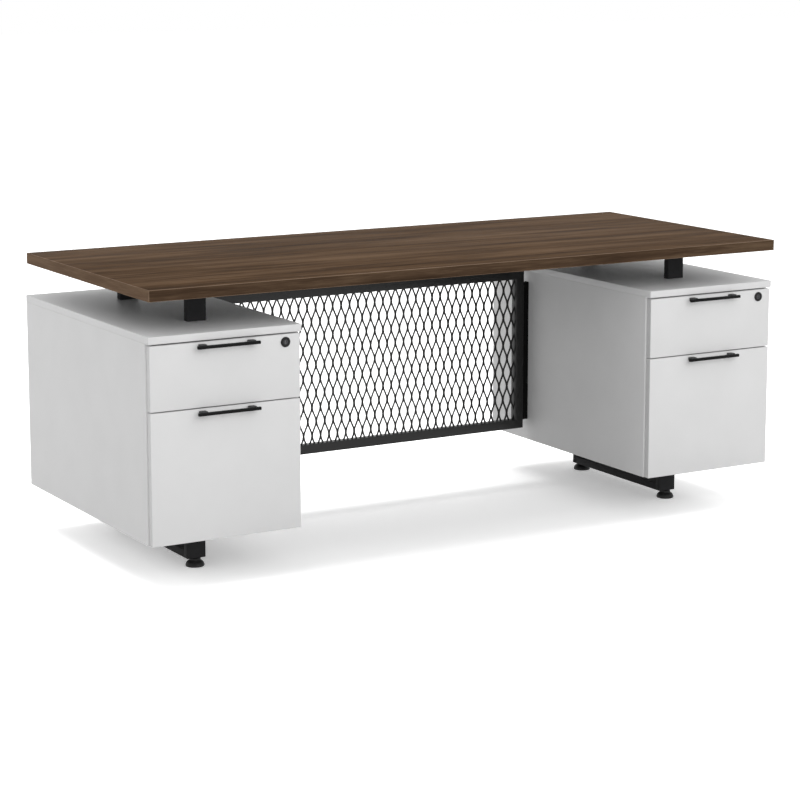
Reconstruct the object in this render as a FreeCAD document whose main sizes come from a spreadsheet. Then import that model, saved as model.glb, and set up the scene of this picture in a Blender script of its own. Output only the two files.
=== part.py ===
"""Office desk: a worktop on two drawer pedestals, with a mesh modesty panel between them.

Millimetres. X runs along the worktop, Y from the user's side to the rear, Z up.
The origin is on the floor, under the middle of the desk's outer box.
"""
import FreeCAD, Part
import os
import re
import Sketcher

# Driving sizes

SIZES = {
    # Worktop
    "worktop_length": 1829,
    "worktop_depth": 762,
    "worktop_thickness": 28,
    "desk_height": 724,
    "edge_band": 2,
    "worktop_overhang": 8,
    # Pedestal case
    "pedestal_width": 400,
    "pedestal_depth": 765,
    "pedestal_height": 500,
    "pedestal_lift": 113,
    "top_thickness": 18,
    "top_rear_overhang": 2,
    "case_board": 18,
    # Drawer fronts
    "front_thickness": 18,
    "front_setback": 2,
    "front_standoff": 1,
    "front_gap": 4,
    "drawer_gap": 3,
    "front_inset": 3.5,
    "upper_front_height": 156,
    # Drawer boxes
    "drawer_depth": 680,
    "box_wall": 12,
    "box_bottom": 6,
    "upper_box_lift": 12,
    "upper_box_height": 106,
    "lower_box_lift": 26,
    "lower_box_height": 262,
    # Telescopic runners
    "runner_length": 600,
    "runner_height": 45,
    "runner_thickness": 12.7,
    "runner_sheet": 1.2,
    "runner_gap": 0.4,
    "runner_setback": 2,
    "upper_runner_rise": 50,
    "lower_runner_rise": 130,
    # Rails for hanging files
    "rail_sheet": 1.5,
    "rail_skirt": 10,
    "rail_rib": 8,
    "rail_play": 0.2,
    "rail_end_gap": 2,
    # Handles
    "handle_length": 164,
    "handle_reach": 22,
    "handle_bar": 8,
    "handle_round": 1.8,
    "handle_drop": 10,
    "foot_width": 18,
    "foot_height": 10,
    "foot_inset": 9,
    "handle_screw_radius": 2,
    "handle_screw_bite": 8,
    "handle_head_radius": 4,
    "handle_head_height": 2.5,
    # Locks
    "lock_inset": 39,
    "lock_drop": 19,
    "bezel_radius": 12.5,
    "bezel_height": 2.5,
    "bezel_slope": 1,
    "barrel_radius": 9.5,
    "barrel_length": 21,
    "plug_radius": 6,
    "plug_recess": 0.6,
    "plug_tail": 1,
    "lock_play": 0.2,
    "keyway_width": 1.6,
    "keyway_height": 8,
    "keyway_depth": 6,
    "cam_reach": 16,
    "cam_width": 10,
    "cam_heel": 7,
    "cam_thickness": 3,
    "strike_play": 2,
    "strike_drop": 11,
    "strike_depth": 26,
    "strike_sheet": 2,
    # Standoff posts and sled bases
    "tube_width": 50,
    "tube_depth": 20,
    "tube_wall": 2,
    "post_setback": 160,
    "post_spacing": 401,
    "sled_setback": 180,
    "sled_spacing": 403,
    "plate_length": 110,
    "plate_width": 70,
    "plate_thickness": 4,
    "plate_hole_length": 84,
    "plate_hole_width": 48,
    "end_plug": 4,
    # Levelling glides
    "glide_height": 21,
    "glide_foot_radius": 23.5,
    "glide_rim": 5,
    "glide_dome": 11,
    "glide_dome_radius": 20.5,
    "glide_shoulder": 16,
    "glide_neck_radius": 14,
    "glide_edge": 1,
    "stem_radius": 5,
    "stem_length": 36,
    "stem_play": 0.3,
    "seat_gap": 0.3,
    # Modesty panel
    "modesty_setback": 192,
    "frame_foot": 149,
    "frame_height": 452,
    "frame_tube": 25,
    "frame_wall": 1.5,
    "bracket_width": 18.5,
    "bracket_depth": 18,
    "bracket_sheet": 2,
    "bracket_setback": 5,
    "bracket_foot": 23,
    "bracket_height": 394,
    "bracket_screw_inset": 47,
    "mesh_thickness": 2,
    "mesh_pitch": 26,
    "mesh_rise": 77.8,
    "mesh_bond": 6.4,
    "mesh_side": 12,
    "mesh_tip": 54,
    "mesh_shift": 6.2,
    "mesh_phase": 14.4,
    "mesh_margin": 2,
    "mesh_least_gap": 4,
    # Screws and bolts
    "screw_radius": 2.2,
    "screw_length": 16,
    "screw_head_radius": 4.2,
    "screw_head_height": 2.5,
    "screw_play": 0.2,
    "pilot_spare": 1,
    "bolt_radius": 3,
    "bolt_bite": 4,
    "bolt_head_radius": 5,
    "bolt_head_height": 4,
    "bolt_spacing": 30,
    "bolt_play": 0.3,
}

# Places worked out from the sizes

PLACES = {
    "worktop_under": "desk_height - worktop_thickness",
    "pedestal_top": "pedestal_lift + pedestal_height",
    "case_top": "pedestal_top - top_thickness",
    "pedestal_mid": "(worktop_length - pedestal_width) / 2",
    "pedestal_rear": "(pedestal_depth - front_setback + handle_reach) / 2",
    "pedestal_front": "pedestal_rear - pedestal_depth",
    "worktop_front": "pedestal_front - worktop_overhang",
    "front_face": "pedestal_front + front_setback",
    "front_back": "front_face + front_thickness",
    "case_front": "front_back + front_standoff",
    "case_rear": "pedestal_rear - top_rear_overhang",
    "case_half": "pedestal_width / 2",
    "case_room": "case_half - case_board",
    "front_half": "case_half - front_inset",
    "box_half": "case_room - runner_thickness",
    "upper_top": "case_top - front_gap",
    "upper_foot": "upper_top - upper_front_height",
    "lower_top": "upper_foot - drawer_gap",
    "lower_foot": "pedestal_lift",
    "upper_box": "upper_foot + upper_box_lift",
    "lower_box": "lower_foot + lower_box_lift",
    "runner_front": "case_front + runner_setback",
    "middle_half": "runner_height / 2 - runner_sheet - runner_gap",
    "inner_half": "middle_half - runner_sheet - runner_gap",
    "foot_mid": "handle_length / 2 - foot_inset - foot_width / 2",
    "lock_side": "front_half - lock_inset",
    "lock_level": "upper_top - lock_drop",
    "strike_half": "case_room - lock_side - strike_play",
    "front_post": "pedestal_front + post_setback + tube_depth / 2",
    "rear_post": "front_post + post_spacing",
    "front_stub": "pedestal_front + sled_setback + tube_depth / 2",
    "rear_stub": "front_stub + sled_spacing",
    "plate_half_length": "plate_hole_length / 2",
    "plate_half_width": "plate_hole_width / 2",
    "frame_front": "pedestal_rear - modesty_setback",
    "frame_half": "pedestal_mid - case_half - bracket_width",
    "bracket_low": "frame_foot + bracket_foot",
    "bracket_mid_depth": "frame_front + bracket_setback + bracket_depth / 2",
}

SIDES = {"left": "-1", "right": "1"}
DRAWERS = ("upper", "lower")

# Ways a screw, pin or channel can point
UP = FreeCAD.Rotation()
TO_USER = FreeCAD.Rotation(FreeCAD.Vector(1, 0, 0), 90)
TO_RIGHT = FreeCAD.Rotation(FreeCAD.Vector(0, 1, 0), 90)
TO_LEFT = FreeCAD.Rotation(FreeCAD.Vector(0, 1, 0), -90)
TURNED_OVER = FreeCAD.Rotation(FreeCAD.Vector(0, 1, 0), 180)

document = FreeCAD.newDocument("office_desk")
sheet = document.addObject("Spreadsheet::Sheet", "Sizes")
for row, (alias, size) in enumerate(SIZES.items(), start=1):
    sheet.set("A%d" % row, alias)
    sheet.set("B%d" % row, str(size))
    sheet.setAlias("B%d" % row, alias)
document.recompute()

nodes = []


# Binding to the sheet

def formula(text):
    """Write a formula on size and place names as one on the sheet's cells."""
    def cell(word):
        name = word.group()
        if name in SIZES:
            return "Sizes." + name
        if name in PLACES:
            return "(" + formula(PLACES[name]) + ")"
        return name
    return re.sub(r"[a-z][a-z_]+", cell, text)


def bind(target, **formulas):
    """Bind each named property of an object to its formula."""
    for name, text in formulas.items():
        target.setExpression(name, formula(text))


def place(target, at, pointing=UP):
    """Turn an object, then bind its position to three formulas."""
    target.Placement = FreeCAD.Placement(FreeCAD.Vector(), pointing)
    for axis, text in zip("xyz", at):
        target.setExpression("Placement.Base." + axis, formula(text))


def node(target):
    """List an object as a sub-part that is written to its own file."""
    nodes.append(target)
    return target


# Ways of making a shape

def board(name, low, size):
    """A square-edged board or block, from its low corner."""
    block = document.addObject("Part::Box", name)
    bind(block, Length=size[0], Width=size[1], Height=size[2])
    place(block, low)
    return block


def rod(name, radius, height, at=("0", "0", "0"), pointing=UP):
    """A plain cylinder, used for drilling."""
    cylinder = document.addObject("Part::Cylinder", name)
    bind(cylinder, Radius=radius, Height=height)
    place(cylinder, at, pointing)
    return cylinder


def copies(name, master, places, pointing=UP):
    """Linked copies of one master shape, one at each place."""
    links = []
    for number, at in enumerate(places):
        link = document.addObject("App::Link", "%s_%d" % (name, number))
        link.LinkedObject = master
        place(link, at, pointing)
        links.append(link)
    return links


def group(name, members):
    """Several separate solids kept as one object."""
    compound = document.addObject("Part::Compound", name)
    compound.Links = members
    return compound


def drilled(name, base, drills):
    """A shape with a group of drills cut out of it."""
    cut = document.addObject("Part::Cut", name)
    cut.Base = base
    cut.Tool = group(name + "_drills", drills)
    return cut


def sketch_on(body, role, name):
    """An empty sketch on one of a body's own origin planes."""
    sketch = body.newObject("Sketcher::SketchObject", name)
    plane = next(item for item in body.Origin.OriginFeatures if item.Role == role)
    sketch.AttachmentSupport = [(plane, "")]
    sketch.MapMode = "FlatFace"
    return sketch


def outline(sketch, corners):
    """A closed run of straight lines, every corner bound to two formulas."""
    first = sketch.GeometryCount
    count = len(corners)
    start = [FreeCAD.Vector(1, 0, 0)]
    for number in range(1, count):
        turn = FreeCAD.Rotation(FreeCAD.Vector(0, 0, 1), 360 * number / count)
        start.append(turn.multVec(start[0]))
    for number in range(count):
        sketch.addGeometry(Part.LineSegment(start[number], start[(number + 1) % count]), False)
    for number in range(count):
        following = first + (number + 1) % count
        sketch.addConstraint(Sketcher.Constraint("Coincident", first + number, 2, following, 1))
    for number, corner in enumerate(corners):
        values = (("DistanceX", start[number].x), ("DistanceY", start[number].y))
        for (kind, value), text in zip(values, corner):
            rule = Sketcher.Constraint(kind, -1, 1, first + number, 1, value)
            bind(sketch, **{"Constraints[%d]" % sketch.addConstraint(rule): text})


def rectangle(half_wide, half_high):
    """The corners of a rectangle about a sketch's origin."""
    return [
        ("-(%s)" % half_wide, "-(%s)" % half_high),
        (half_wide, "-(%s)" % half_high),
        (half_wide, half_high),
        ("-(%s)" % half_wide, half_high),
    ]


def padded(name, role, outlines, length, away=False):
    """A section drawn on an origin plane and padded to a length."""
    body = document.addObject("PartDesign::Body", name)
    sketch = sketch_on(body, role, name + "_section")
    for corners in outlines:
        outline(sketch, corners)
    pad = body.newObject("PartDesign::Pad", name + "_pad")
    pad.Profile = sketch
    pad.Reversed = away
    bind(pad, Length=length)
    return body


def turned(name, profile):
    """A half section in the XZ plane, revolved about Z."""
    body = document.addObject("PartDesign::Body", name)
    sketch = sketch_on(body, "XZ_Plane", name + "_half_section")
    outline(sketch, profile)
    revolution = body.newObject("PartDesign::Revolution", name + "_turn")
    revolution.Profile = sketch
    revolution.ReferenceAxis = (sketch, ["V_Axis"])
    revolution.Angle = 360
    return body


def headed(name, radius, length, head_radius, head_height):
    """A screw or bolt that points up, with the underside of its head at its origin."""
    return turned(name, [
        ("0", "-" + head_height),
        (head_radius, "-" + head_height),
        (head_radius, "0"),
        (radius, "0"),
        (radius, length),
        ("0", length),
    ])


# Fasteners that several pieces share

screw = headed("screw", "screw_radius", "screw_length", "screw_head_radius", "screw_head_height")
pilot = rod("pilot", "screw_radius + screw_play", "screw_length + pilot_spare")
bolt = headed("bolt", "bolt_radius", "top_thickness + bolt_bite", "bolt_head_radius", "bolt_head_height")
bolt_hole = rod("bolt_hole", "bolt_radius + bolt_play", "top_thickness + end_plug")
handle_screw = headed(
    "handle_screw", "handle_screw_radius", "front_thickness + handle_screw_bite",
    "handle_head_radius", "handle_head_height")
handle_hole = rod(
    "handle_hole", "handle_screw_radius + screw_play",
    "front_thickness + handle_screw_bite + pilot_spare")


def plate_corners(middle_x, middle_y, level):
    """The four hole places of a fixing plate about its middle."""
    places = []
    for along in ("-", "+"):
        for across in ("-", "+"):
            x = "%s %s plate_half_length" % (middle_x, along)
            y = "%s %s plate_half_width" % (middle_y, across)
            places.append((x, y, level))
    return places


def fixing_plate():
    """The steel plate at the head of every post and sled upright, underside at its origin."""
    blank = board(
        "plate_blank", ("-plate_length / 2", "-plate_width / 2", "0"),
        ("plate_length", "plate_width", "plate_thickness"))
    drills = copies("plate_drill", pilot, plate_corners("0", "0", "0"))
    return drilled("fixing_plate", blank, drills)


plate = fixing_plate()


def capped_tube(name, length, cap_hole, hole_places):
    """An upright rectangular tube from its foot, with a drilled cap welded in the foot."""
    outer = rectangle("tube_width / 2", "tube_depth / 2")
    inner = rectangle("tube_width / 2 - tube_wall", "tube_depth / 2 - tube_wall")
    wall = padded(name + "_wall", "XY_Plane", [outer, inner], length)
    cap = padded(name + "_cap", "XY_Plane", [inner], "end_plug")
    welded = document.addObject("Part::Fuse", name + "_welded")
    welded.Base = wall
    welded.Tool = cap
    return drilled(name, welded, copies(name + "_cap_drill", cap_hole, hole_places))


# Worktop

def plate_screw_places():
    """Places of the screws through the post plates and the sled plates."""
    posts = []
    sleds = []
    for hand in SIDES.values():
        middle = hand + " * pedestal_mid"
        for at in ("front_post", "rear_post"):
            posts += plate_corners(middle, at, "worktop_under - plate_thickness")
        for at in ("front_stub", "rear_stub"):
            sleds += plate_corners(middle, at, "pedestal_lift - plate_thickness")
    return posts, sleds


post_screw_places, sled_screw_places = plate_screw_places()

worktop_core = board(
    "worktop_core",
    ("-worktop_length / 2 + edge_band", "worktop_front + edge_band", "worktop_under"),
    ("worktop_length - 2 * edge_band", "worktop_depth - 2 * edge_band", "worktop_thickness"))
node(drilled("worktop_panel", worktop_core, copies("worktop_drill", pilot, post_screw_places)))

bands = []
for name, y in (("front_band", "worktop_front"), ("rear_band", "worktop_front + worktop_depth - edge_band")):
    bands.append(board(
        name, ("-worktop_length / 2", y, "worktop_under"),
        ("worktop_length", "edge_band", "worktop_thickness")))
for name, x in (("left_band", "-worktop_length / 2"), ("right_band", "worktop_length / 2 - edge_band")):
    bands.append(board(
        name, (x, "worktop_front + edge_band", "worktop_under"),
        ("edge_band", "worktop_depth - 2 * edge_band", "worktop_thickness")))
node(group("worktop_edge_bands", bands))

# Standoff posts and sled bases

bolt_places = [("-bolt_spacing / 2", "0", "0"), ("bolt_spacing / 2", "0", "0")]
post = capped_tube(
    "post", "worktop_under - plate_thickness - pedestal_top", bolt_hole, bolt_places)
stem_hole = rod("stem_hole", "stem_radius + stem_play", "end_plug")
stub = capped_tube(
    "stub", "pedestal_lift - plate_thickness - glide_height", stem_hole, [("0", "0", "0")])
floor_rail = padded(
    "floor_rail", "XZ_Plane",
    [rectangle("tube_width / 2", "tube_depth / 2"),
     rectangle("tube_width / 2 - tube_wall", "tube_depth / 2 - tube_wall")],
    "sled_spacing - tube_depth", away=True)

for side, hand in SIDES.items():
    middle = hand + " * pedestal_mid"
    posts = []
    for number, y in enumerate(("front_post", "rear_post")):
        name = "%s_post_%d" % (side, number)
        posts += copies(name, post, [(middle, y, "pedestal_top")])
        posts += copies(name + "_plate", plate, [(middle, y, "worktop_under - plate_thickness")])
    node(group(side + "_standoff_posts", posts))

    sled = copies(
        side + "_floor_rail", floor_rail,
        [(middle, "front_stub + tube_depth / 2", "glide_height + tube_depth / 2")])
    for number, y in enumerate(("front_stub", "rear_stub")):
        name = "%s_stub_%d" % (side, number)
        sled += copies(name, stub, [(middle, y, "glide_height")])
        sled += copies(name + "_plate", plate, [(middle, y, "pedestal_lift - plate_thickness")])
    node(group(side + "_sled_base", sled))

# Levelling glides

GLIDE_PROFILE = [
    ("0", "0"),
    ("glide_foot_radius - glide_edge", "0"),
    ("glide_foot_radius", "glide_edge"),
    ("glide_foot_radius", "glide_rim"),
    ("glide_dome_radius", "glide_dome"),
    ("glide_neck_radius", "glide_shoulder"),
    ("glide_neck_radius", "glide_height - seat_gap"),
    ("stem_radius", "glide_height - seat_gap"),
    ("stem_radius", "glide_height + stem_length"),
    ("0", "glide_height + stem_length"),
]
for side, hand in SIDES.items():
    for end in ("front", "rear"):
        glide = node(turned("%s_%s_glide" % (side, end), GLIDE_PROFILE))
        place(glide, (hand + " * pedestal_mid", end + "_stub", "0"))

# Pedestal cases

bracket_screw_levels = (
    "bracket_low + bracket_screw_inset",
    "bracket_low + bracket_height - bracket_screw_inset",
)


def bracket_screw_places(x):
    """Places of a bracket's two screws on a plane square to X."""
    return [(x, "bracket_mid_depth", level) for level in bracket_screw_levels]


case_to_frame = {"left": (TO_LEFT, TO_RIGHT), "right": (TO_RIGHT, TO_LEFT)}
screws = copies("post_screw", screw, post_screw_places)
screws += copies("sled_screw", screw, sled_screw_places)
bolts = []

for side, hand in SIDES.items():
    middle = hand + " * pedestal_mid"
    to_case, to_frame = case_to_frame[side]

    overlay = board(
        side + "_top_blank",
        (middle + " - pedestal_width / 2", "pedestal_front", "case_top"),
        ("pedestal_width", "pedestal_depth", "top_thickness"))
    post_bolt_places = []
    for y in ("front_post", "rear_post"):
        for x in ("- bolt_spacing / 2", "+ bolt_spacing / 2"):
            post_bolt_places.append(("%s %s" % (middle, x), y, "case_top"))
    node(drilled(
        side + "_pedestal_top", overlay,
        copies(side + "_top_drill", bolt_hole, post_bolt_places)))
    bolts += copies(side + "_post_bolt", bolt, post_bolt_places)

    upright_size = ("case_board", "case_rear - case_front", "case_top - pedestal_lift")
    outer_middle = hand + " * (pedestal_mid + case_half - case_board / 2)"
    inner_middle = hand + " * (pedestal_mid - case_half + case_board / 2)"
    node(board(
        side + "_outer_side", (outer_middle + " - case_board / 2", "case_front", "pedestal_lift"),
        upright_size))
    inner_blank = board(
        side + "_inner_blank", (inner_middle + " - case_board / 2", "case_front", "pedestal_lift"),
        upright_size)
    case_screws = bracket_screw_places(hand + " * (pedestal_mid - case_half - bracket_sheet)")
    node(drilled(
        side + "_inner_side", inner_blank,
        copies(side + "_inner_drill", pilot, case_screws, to_case)))
    screws += copies(side + "_case_screw", screw, case_screws, to_case)
    frame_screws = bracket_screw_places(hand + " * (frame_half + bracket_sheet)")
    screws += copies(side + "_frame_screw", screw, frame_screws, to_frame)

    bottom_blank = board(
        side + "_bottom_blank", (middle + " - case_room", "case_front", "pedestal_lift"),
        ("2 * case_room", "case_rear - case_board - case_front", "case_board"))
    sled_places = [at for at in sled_screw_places if at[0].startswith(middle)]
    node(drilled(
        side + "_case_bottom", bottom_blank,
        copies(side + "_bottom_drill", pilot, sled_places)))
    node(board(
        side + "_case_back", (middle + " - case_room", "case_rear - case_board", "pedestal_lift"),
        ("2 * case_room", "case_board", "case_top - pedestal_lift")))

# Telescopic runners, each section drawn for the right-hand wall and padded to the rear

RUNNER_HALVES = {
    "case": "runner_height / 2",
    "middle": "middle_half",
    "drawer": "inner_half",
}
RUNNER_BACKS = {
    "case": "0",
    "middle": "-(runner_sheet + runner_gap)",
    "drawer": "-runner_thickness",
}
RUNNER_LIPS = {
    "case": "-(runner_thickness - runner_sheet - runner_gap)",
    "middle": "-(runner_thickness - runner_sheet - runner_gap)",
    "drawer": "-(2 * runner_sheet + 2 * runner_gap)",
}


def channel(member):
    """One runner member: a web with a lip at its top and bottom."""
    half = RUNNER_HALVES[member]
    back = RUNNER_BACKS[member]
    lip = RUNNER_LIPS[member]
    inward = "+" if member == "drawer" else "-"
    face = "%s %s runner_sheet" % (back, inward)
    corners = [
        (back, "-(%s)" % half),
        (lip, "-(%s)" % half),
        (lip, "-(%s) + runner_sheet" % half),
        (face, "-(%s) + runner_sheet" % half),
        (face, "%s - runner_sheet" % half),
        (lip, "%s - runner_sheet" % half),
        (lip, half),
        (back, half),
    ]
    return padded(member + "_runner", "XZ_Plane", [corners], "runner_length", away=True)


RUNNERS = {member: channel(member) for member in RUNNER_HALVES}


def runner_pair(name, member, middle, level):
    """A member on both walls of one drawer bay."""
    master = RUNNERS[member]
    right = copies(name + "_right", master, [(middle + " + case_room", "runner_front", level)])
    left = copies(
        name + "_left", master, [(middle + " - case_room", "runner_front", level)], TURNED_OVER)
    return right + left


# Handles: a rounded bar on two feet, drawn about the middle of the bar at the drawer's face

handle_bar = document.addObject("PartDesign::Body", "handle_bar")
bar_block = handle_bar.newObject("PartDesign::AdditiveBox", "handle_bar_block")
bind(bar_block, Length="handle_length", Width="handle_bar", Height="handle_bar")
place(bar_block, ("-handle_length / 2", "-handle_reach", "-handle_bar / 2"))
document.recompute()
bar_round = handle_bar.newObject("PartDesign::Fillet", "handle_bar_round")
bar_round.Base = (bar_block, ["Edge1"])
bar_round.UseAllEdges = True
bind(bar_round, Radius="handle_round")

foot_blank = board(
    "foot_blank", ("-foot_width / 2", "handle_bar - handle_reach", "-handle_bar / 2"),
    ("foot_width", "handle_reach - handle_bar", "foot_height"))
FOOT_AXIS = "(foot_height - handle_bar) / 2"
handle_foot = drilled(
    "handle_foot", foot_blank,
    copies("foot_drill", handle_hole, [("0", "front_thickness", FOOT_AXIS)], TO_USER))

# Locks: turned pieces that point at the user, with the drawer's face at their origin

lock_barrel = turned("lock_barrel", [
    ("plug_radius + lock_play", "-barrel_length"),
    ("barrel_radius", "-barrel_length"),
    ("barrel_radius", "0"),
    ("bezel_radius", "0"),
    ("bezel_radius", "bezel_height - bezel_slope"),
    ("bezel_radius - bezel_slope", "bezel_height"),
    ("plug_radius + lock_play", "bezel_height"),
])
lock_hole = rod("lock_hole", "barrel_radius + lock_play", "front_thickness")
plug_blank = turned("plug_blank", [
    ("0", "-barrel_length - plug_tail"),
    ("plug_radius", "-barrel_length - plug_tail"),
    ("plug_radius", "bezel_height - plug_recess"),
    ("0", "bezel_height - plug_recess"),
])
keyway = board(
    "keyway",
    ("-keyway_width / 2", "-keyway_height / 2", "bezel_height - plug_recess - keyway_depth"),
    ("keyway_width", "keyway_height", "keyway_depth"))
lock_plug = drilled("lock_plug", plug_blank, [keyway])
lock_cam = padded(
    "lock_cam", "XY_Plane",
    [[("cam_heel", "-cam_width / 2"), ("cam_heel", "cam_width / 2"),
      ("-cam_reach", "cam_width / 2"), ("-cam_reach", "-cam_width / 2")]],
    "cam_thickness")
strike = padded(
    "strike", "YZ_Plane",
    [[("0", "0"), ("0", "-strike_drop"), ("strike_sheet", "-strike_drop"),
      ("strike_sheet", "-strike_sheet"), ("strike_depth", "-strike_sheet"), ("strike_depth", "0")]],
    "2 * strike_half")

# Drawers

file_rail_half = "box_wall / 2 + rail_play"
file_rail = padded(
    "file_rail", "XZ_Plane",
    [[("-(%s) - rail_sheet" % file_rail_half, "-rail_skirt"),
      ("-(%s)" % file_rail_half, "-rail_skirt"),
      ("-(%s)" % file_rail_half, "0"),
      (file_rail_half, "0"),
      (file_rail_half, "-rail_skirt"),
      (file_rail_half + " + rail_sheet", "-rail_skirt"),
      (file_rail_half + " + rail_sheet", "rail_sheet"),
      ("rail_sheet / 2", "rail_sheet"),
      ("rail_sheet / 2", "rail_sheet + rail_rib"),
      ("-rail_sheet / 2", "rail_sheet + rail_rib"),
      ("-rail_sheet / 2", "rail_sheet"),
      ("-(%s) - rail_sheet" % file_rail_half, "rail_sheet")]],
    "drawer_depth - 2 * box_wall - 2 * rail_end_gap", away=True)


def drawer_front(name, side_middle, drawer):
    """The overlay front board, drilled for its handle and, on the upper drawer, its lock."""
    blank = board(
        name + "_blank", (side_middle + " - front_half", "front_face", drawer + "_foot"),
        ("2 * front_half", "front_thickness", "%s_top - %s_foot" % (drawer, drawer)))
    level = "%s_top - handle_drop + %s" % (drawer, FOOT_AXIS)
    screw_places = [
        (side_middle + " - foot_mid", "front_back", level),
        (side_middle + " + foot_mid", "front_back", level),
    ]
    drills = copies(name + "_handle_drill", handle_hole, screw_places, TO_USER)
    if drawer == "upper":
        lock_place = [(side_middle + " + lock_side", "front_back", "lock_level")]
        drills += copies(name + "_lock_drill", lock_hole, lock_place, TO_USER)
    return drilled(name, blank, drills), screw_places


def drawer_walls(name, side_middle, drawer):
    """The two sides, the inner front and the back of a drawer box."""
    level = drawer + "_box + box_bottom"
    height = drawer + "_box_height - box_bottom"
    walls = []
    for number, x in enumerate(("- box_half", "+ box_half - box_wall")):
        walls.append(board(
            "%s_side_%d" % (name, number), ("%s %s" % (side_middle, x), "front_back", level),
            ("box_wall", "drawer_depth", height)))
    for number, y in enumerate(("front_back", "front_back + drawer_depth - box_wall")):
        walls.append(board(
            "%s_end_%d" % (name, number), (side_middle + " - box_half + box_wall", y, level),
            ("2 * box_half - 2 * box_wall", "box_wall", height)))
    return group(name, walls)


def handle(name, side_middle, drawer, screw_places):
    """A bar, its two feet and the two screws that hold them from inside the front."""
    level = drawer + "_top - handle_drop"
    pieces = copies(name + "_bar", handle_bar, [(side_middle, "front_face", level)])
    feet = [(at[0], "front_face", level) for at in screw_places]
    pieces += copies(name + "_foot", handle_foot, feet)
    pieces += copies(name + "_screw", handle_screw, screw_places, TO_USER)
    return group(name, pieces)


for side, hand in SIDES.items():
    middle = hand + " * pedestal_mid"
    case_runners = []
    for drawer in DRAWERS:
        name = "%s_%s" % (side, drawer)
        level = "%s_box + %s_runner_rise" % (drawer, drawer)
        front, screw_places = drawer_front(name + "_drawer_front", middle, drawer)
        node(front)
        node(drawer_walls(name + "_drawer_walls", middle, drawer))
        node(board(
            name + "_drawer_bottom", (middle + " - box_half", "front_back", drawer + "_box"),
            ("2 * box_half", "drawer_depth", "box_bottom")))
        node(handle(name + "_handle", middle, drawer, screw_places))
        drawer_pair = runner_pair(name + "_drawer_runner", "drawer", middle, level)
        node(group(name + "_drawer_runners", drawer_pair))
        middle_pair = runner_pair(name + "_middle_runner", "middle", middle, level)
        node(group(name + "_middle_runners", middle_pair))
        case_runners += runner_pair(name + "_case_runner", "case", middle, level)
    node(group(side + "_case_runners", case_runners))

    rail_places = []
    for x in ("- box_half + box_wall / 2", "+ box_half - box_wall / 2"):
        rail_places.append((
            "%s %s" % (middle, x), "front_back + box_wall + rail_end_gap", "lower_box + lower_box_height"))
    node(group(side + "_file_rails", copies(side + "_file_rail", file_rail, rail_places)))

    lock_middle = middle + " + lock_side"
    barrel = copies(side + "_barrel", lock_barrel, [(lock_middle, "front_face", "lock_level")], TO_USER)
    node(group(side + "_lock_housing", barrel))
    turning = copies(side + "_plug", lock_plug, [(lock_middle, "front_face", "lock_level")], TO_USER)
    cam_depth = "front_face + barrel_length + plug_tail + cam_thickness"
    turning += copies(side + "_cam", lock_cam, [(lock_middle, cam_depth, "lock_level")], TO_USER)
    node(group(side + "_lock_plug", turning))
    strike_place = [(lock_middle + " - strike_half", "case_front", "case_top")]
    node(group(side + "_lock_strike", copies(side + "_strike", strike, strike_place)))

# Modesty panel

stile = padded(
    "stile", "XY_Plane",
    [rectangle("frame_tube / 2", "frame_tube / 2"),
     rectangle("frame_tube / 2 - frame_wall", "frame_tube / 2 - frame_wall")],
    "frame_height")
cross_rail = padded(
    "cross_rail", "YZ_Plane",
    [rectangle("frame_tube / 2", "frame_tube / 2"),
     rectangle("frame_tube / 2 - frame_wall", "frame_tube / 2 - frame_wall")],
    "2 * frame_half - 2 * frame_tube")
frame_tubes = []
for side, hand in SIDES.items():
    stile_place = [(hand + " * (frame_half - frame_tube / 2)", "frame_front + frame_tube / 2", "frame_foot")]
    frame_screws = bracket_screw_places(hand + " * (frame_half + bracket_sheet)")
    drills = copies(side + "_stile_drill", pilot, frame_screws, case_to_frame[side][1])
    frame_tubes.append(drilled(
        side + "_stile", copies(side + "_stile_blank", stile, stile_place)[0], drills))
rail_levels = ("frame_foot + frame_tube / 2", "frame_foot + frame_height - frame_tube / 2")
frame_tubes += copies(
    "cross_rail_place", cross_rail,
    [("frame_tube - frame_half", "frame_front + frame_tube / 2", level) for level in rail_levels])
node(group("modesty_frame", frame_tubes))

bracket = padded(
    "bracket", "XY_Plane",
    [[("-bracket_width / 2", "0"), ("bracket_width / 2", "0"),
      ("bracket_width / 2", "bracket_depth"), ("bracket_width / 2 - bracket_sheet", "bracket_depth"),
      ("bracket_width / 2 - bracket_sheet", "bracket_sheet"),
      ("bracket_sheet - bracket_width / 2", "bracket_sheet"),
      ("bracket_sheet - bracket_width / 2", "bracket_depth"), ("-bracket_width / 2", "bracket_depth")]],
    "bracket_height")
brackets = []
for side, hand in SIDES.items():
    to_case, to_frame = case_to_frame[side]
    at = [(hand + " * (frame_half + bracket_width / 2)", "frame_front + bracket_setback", "bracket_low")]
    case_screws = bracket_screw_places(hand + " * (pedestal_mid - case_half - bracket_sheet)")
    frame_screws = bracket_screw_places(hand + " * (frame_half + bracket_sheet)")
    drills = copies(side + "_flange_drill", pilot, case_screws, to_case)
    drills += copies(side + "_web_drill", pilot, frame_screws, to_frame)
    brackets.append(drilled(
        side + "_bracket", copies(side + "_bracket_blank", bracket, at)[0], drills))
node(group("modesty_brackets", brackets))

node(group("panel_screws", screws))
node(group("post_bolts", bolts))


def clipped(corners, axis, limit, keep):
    """Cut a convex outline at one straight limit, keeping the side below or above it."""
    kept = []
    for number, corner in enumerate(corners):
        before = corners[number - 1]
        inside = keep * (limit - corner[axis]) >= 0
        was_inside = keep * (limit - before[axis]) >= 0
        if inside != was_inside:
            share = (limit - before[axis]) / (corner[axis] - before[axis])
            kept.append(tuple(b + share * (c - b) for b, c in zip(before, corner)))
        if inside:
            kept.append(corner)
    return kept


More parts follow.
